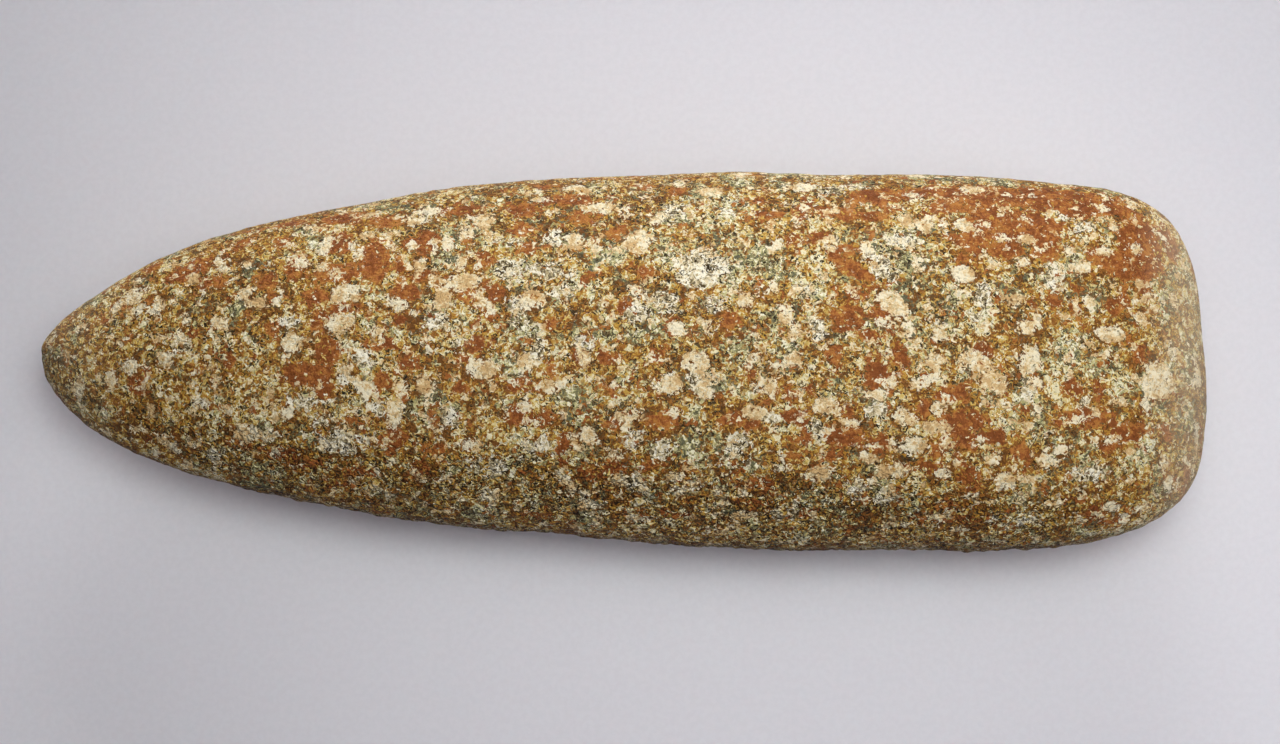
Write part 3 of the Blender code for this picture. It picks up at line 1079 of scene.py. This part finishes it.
        # Painted sheen: the rust lighter towards the back.
        self.write(mesh, Wear.RUST_SHEEN, 0.33 + 0.09 * smooth_step(across, *self.rust_sheen_back_mm))
        self.write(mesh, Wear.WORN, smooth_step(along, *self.worn_bit_mm))
        # A pale rub with painted sheen at the edge and at the butt tip.
        tip = 1.0 - smooth_step(along, *self.rub_sheen_tip_mm)
        self.write(mesh, Wear.RUB_SHEEN, smooth_step(along, *self.rub_sheen_edge_mm) + 0.3 * tip)
        # Painted shade in a belt low on the sides, most on the front.
        belt = smooth_step(up, *self.low_shade_starts_mm) * (1.0 - smooth_step(up, *self.low_shade_ends_mm))
        front = np.where(across < 0.0, 0.30, 0.12)
        self.write(mesh, Wear.LOW_SHADE, belt * front * (1.0 - 0.7 * bit))

    @staticmethod
    def write(mesh: bpy.types.Mesh, kind: Stain | Wear, value: np.ndarray) -> None:
        """Store a number for each point of the mesh.

        Args:
            mesh: the mesh.
            kind: what the numbers say.
            value: the numbers.
        """
        layer = mesh.attributes.new(kind.value, "FLOAT", "POINT")
        layer.data.foreach_set("value", value.astype(np.float32))


@dataclass
class PlainFloor:
    """A broad plain floor under the stone."""

    side: float = 4.0
    finish: PaleFoam = field(default_factory=PaleFoam)

    def build(self) -> bpy.types.Object:
        """Make the floor.

        Returns:
            The floor.
        """
        bpy.ops.mesh.primitive_plane_add(size=self.side)
        floor = bpy.context.object
        floor.name = "floor"
        floor.data.materials.append(self.finish.material())
        return floor


@dataclass(frozen=True)
class Panel:
    """A round soft light: where it hangs, how wide and strong it is, what it faces and how far it spreads."""

    name: str
    place: tuple[float, float, float]
    width: float
    power: float
    aim: tuple[float, float, float] = (0.0, 0.0, 0.0)
    spread: float = 180.0

    def build(self) -> bpy.types.Object:
        """Hang the panel and turn it to what it faces.

        Returns:
            The panel.
        """
        lamp = bpy.data.lights.new(self.name, "AREA")
        lamp.shape = "DISK"
        lamp.size = self.width
        lamp.energy = self.power
        lamp.spread = math.radians(self.spread)
        panel = bpy.data.objects.new(self.name, lamp)
        panel.location = self.place
        panel.rotation_mode = "QUATERNION"
        panel.rotation_quaternion = (Vector(self.place) - Vector(self.aim)).to_track_quat("Z", "Y")
        bpy.context.scene.collection.objects.link(panel)
        return panel


@dataclass
class StudioLight:
    """A key panel nearly overhead, one behind the stone, one off the bit, and a pale room around them."""

    panels: tuple[Panel, ...] = (
        Panel("key_panel", (0.08, 0.00, 0.62), 0.26, 0.340, (0.035, -0.02, 0.0), 57.0),
        Panel("back_panel", (0.02, 0.90, 0.20), 0.50, 0.98, (0.0, 0.0, 0.0), 60.0),
        Panel("side_panel", (0.54, -0.20, 0.30), 0.30, 0.46, (0.07, -0.01, 0.0)),
    )
    tint: tuple[float, float, float, float] = (0.97, 0.97, 1.0, 1.0)
    room: float = 0.01
    wall: float = 0.38
    wall_top: float = 0.30

    def build(self) -> None:
        """Hang the panels and light the room: a pale wall all round that fades upwards into the dim room."""
        for panel in self.panels:
            panel.build()
        world = bpy.data.worlds.new("room")
        world.use_nodes = True
        tree = world.node_tree
        split = tree.nodes.new("ShaderNodeSeparateXYZ")
        tree.links.new(tree.nodes.new("ShaderNodeTexCoord").outputs["Generated"], split.inputs["Vector"])
        fade = tree.nodes.new("ShaderNodeMapRange")
        fade.interpolation_type = "SMOOTHSTEP"
        tree.links.new(split.outputs["Z"], fade.inputs["Value"])
        fade.inputs["From Max"].default_value = self.wall_top
        fade.inputs["To Min"].default_value = self.wall
        fade.inputs["To Max"].default_value = self.room
        shade = tree.nodes["Background"]
        shade.inputs["Color"].default_value = self.tint
        tree.links.new(fade.outputs["Result"], shade.inputs["Strength"])
        bpy.context.scene.world = world


@dataclass
class Camera:
    """A long lens nearly straight above the stone, tilted a little to the front."""

    tilt: float = 10.0
    roll: float = 0.537
    distance: float = 0.550
    nearest: float = 0.01
    lens: float = 90.07
    aim: tuple[float, float, float] = (0.00282, -0.00244, 0.0180)

    def build(self) -> bpy.types.Object:
        """Make the camera and put it in place.

        Returns:
            The camera.
        """
        tilt = math.radians(self.tilt)
        roll = math.radians(self.roll)
        back = Vector((0.0, -math.sin(tilt), math.cos(tilt)))
        right = Vector((1.0, 0.0, 0.0))
        up = back.cross(right)
        turned_right = right * math.cos(roll) + up * math.sin(roll)
        turned_up = up * math.cos(roll) - right * math.sin(roll)
        data = bpy.data.cameras.new("camera")
        data.lens = self.lens
        data.clip_start = self.nearest
        camera = bpy.data.objects.new("camera", data)
        place = Vector(self.aim) + back * self.distance
        axes = Matrix((turned_right, turned_up, back)).transposed()
        camera.matrix_world = Matrix.Translation(place) @ axes.to_4x4()
        bpy.context.scene.collection.objects.link(camera)
        bpy.context.scene.camera = camera
        return camera


def main() -> None:
    """Build the scene, piece by piece."""
    logging.basicConfig(level=logging.INFO, format="%(name)s: %(message)s")
    Camera().build()
    StudioLight().build()
    floor = PlainFloor().build()
    log.info("%s: %d faces", floor.name, len(floor.data.polygons))
    piece = AxeHead().build()
    log.info("%s: %d faces", piece.name, len(piece.data.polygons))
    bpy.context.scene.view_settings.view_transform = "Standard"


if __name__ == "__main__":
    main()
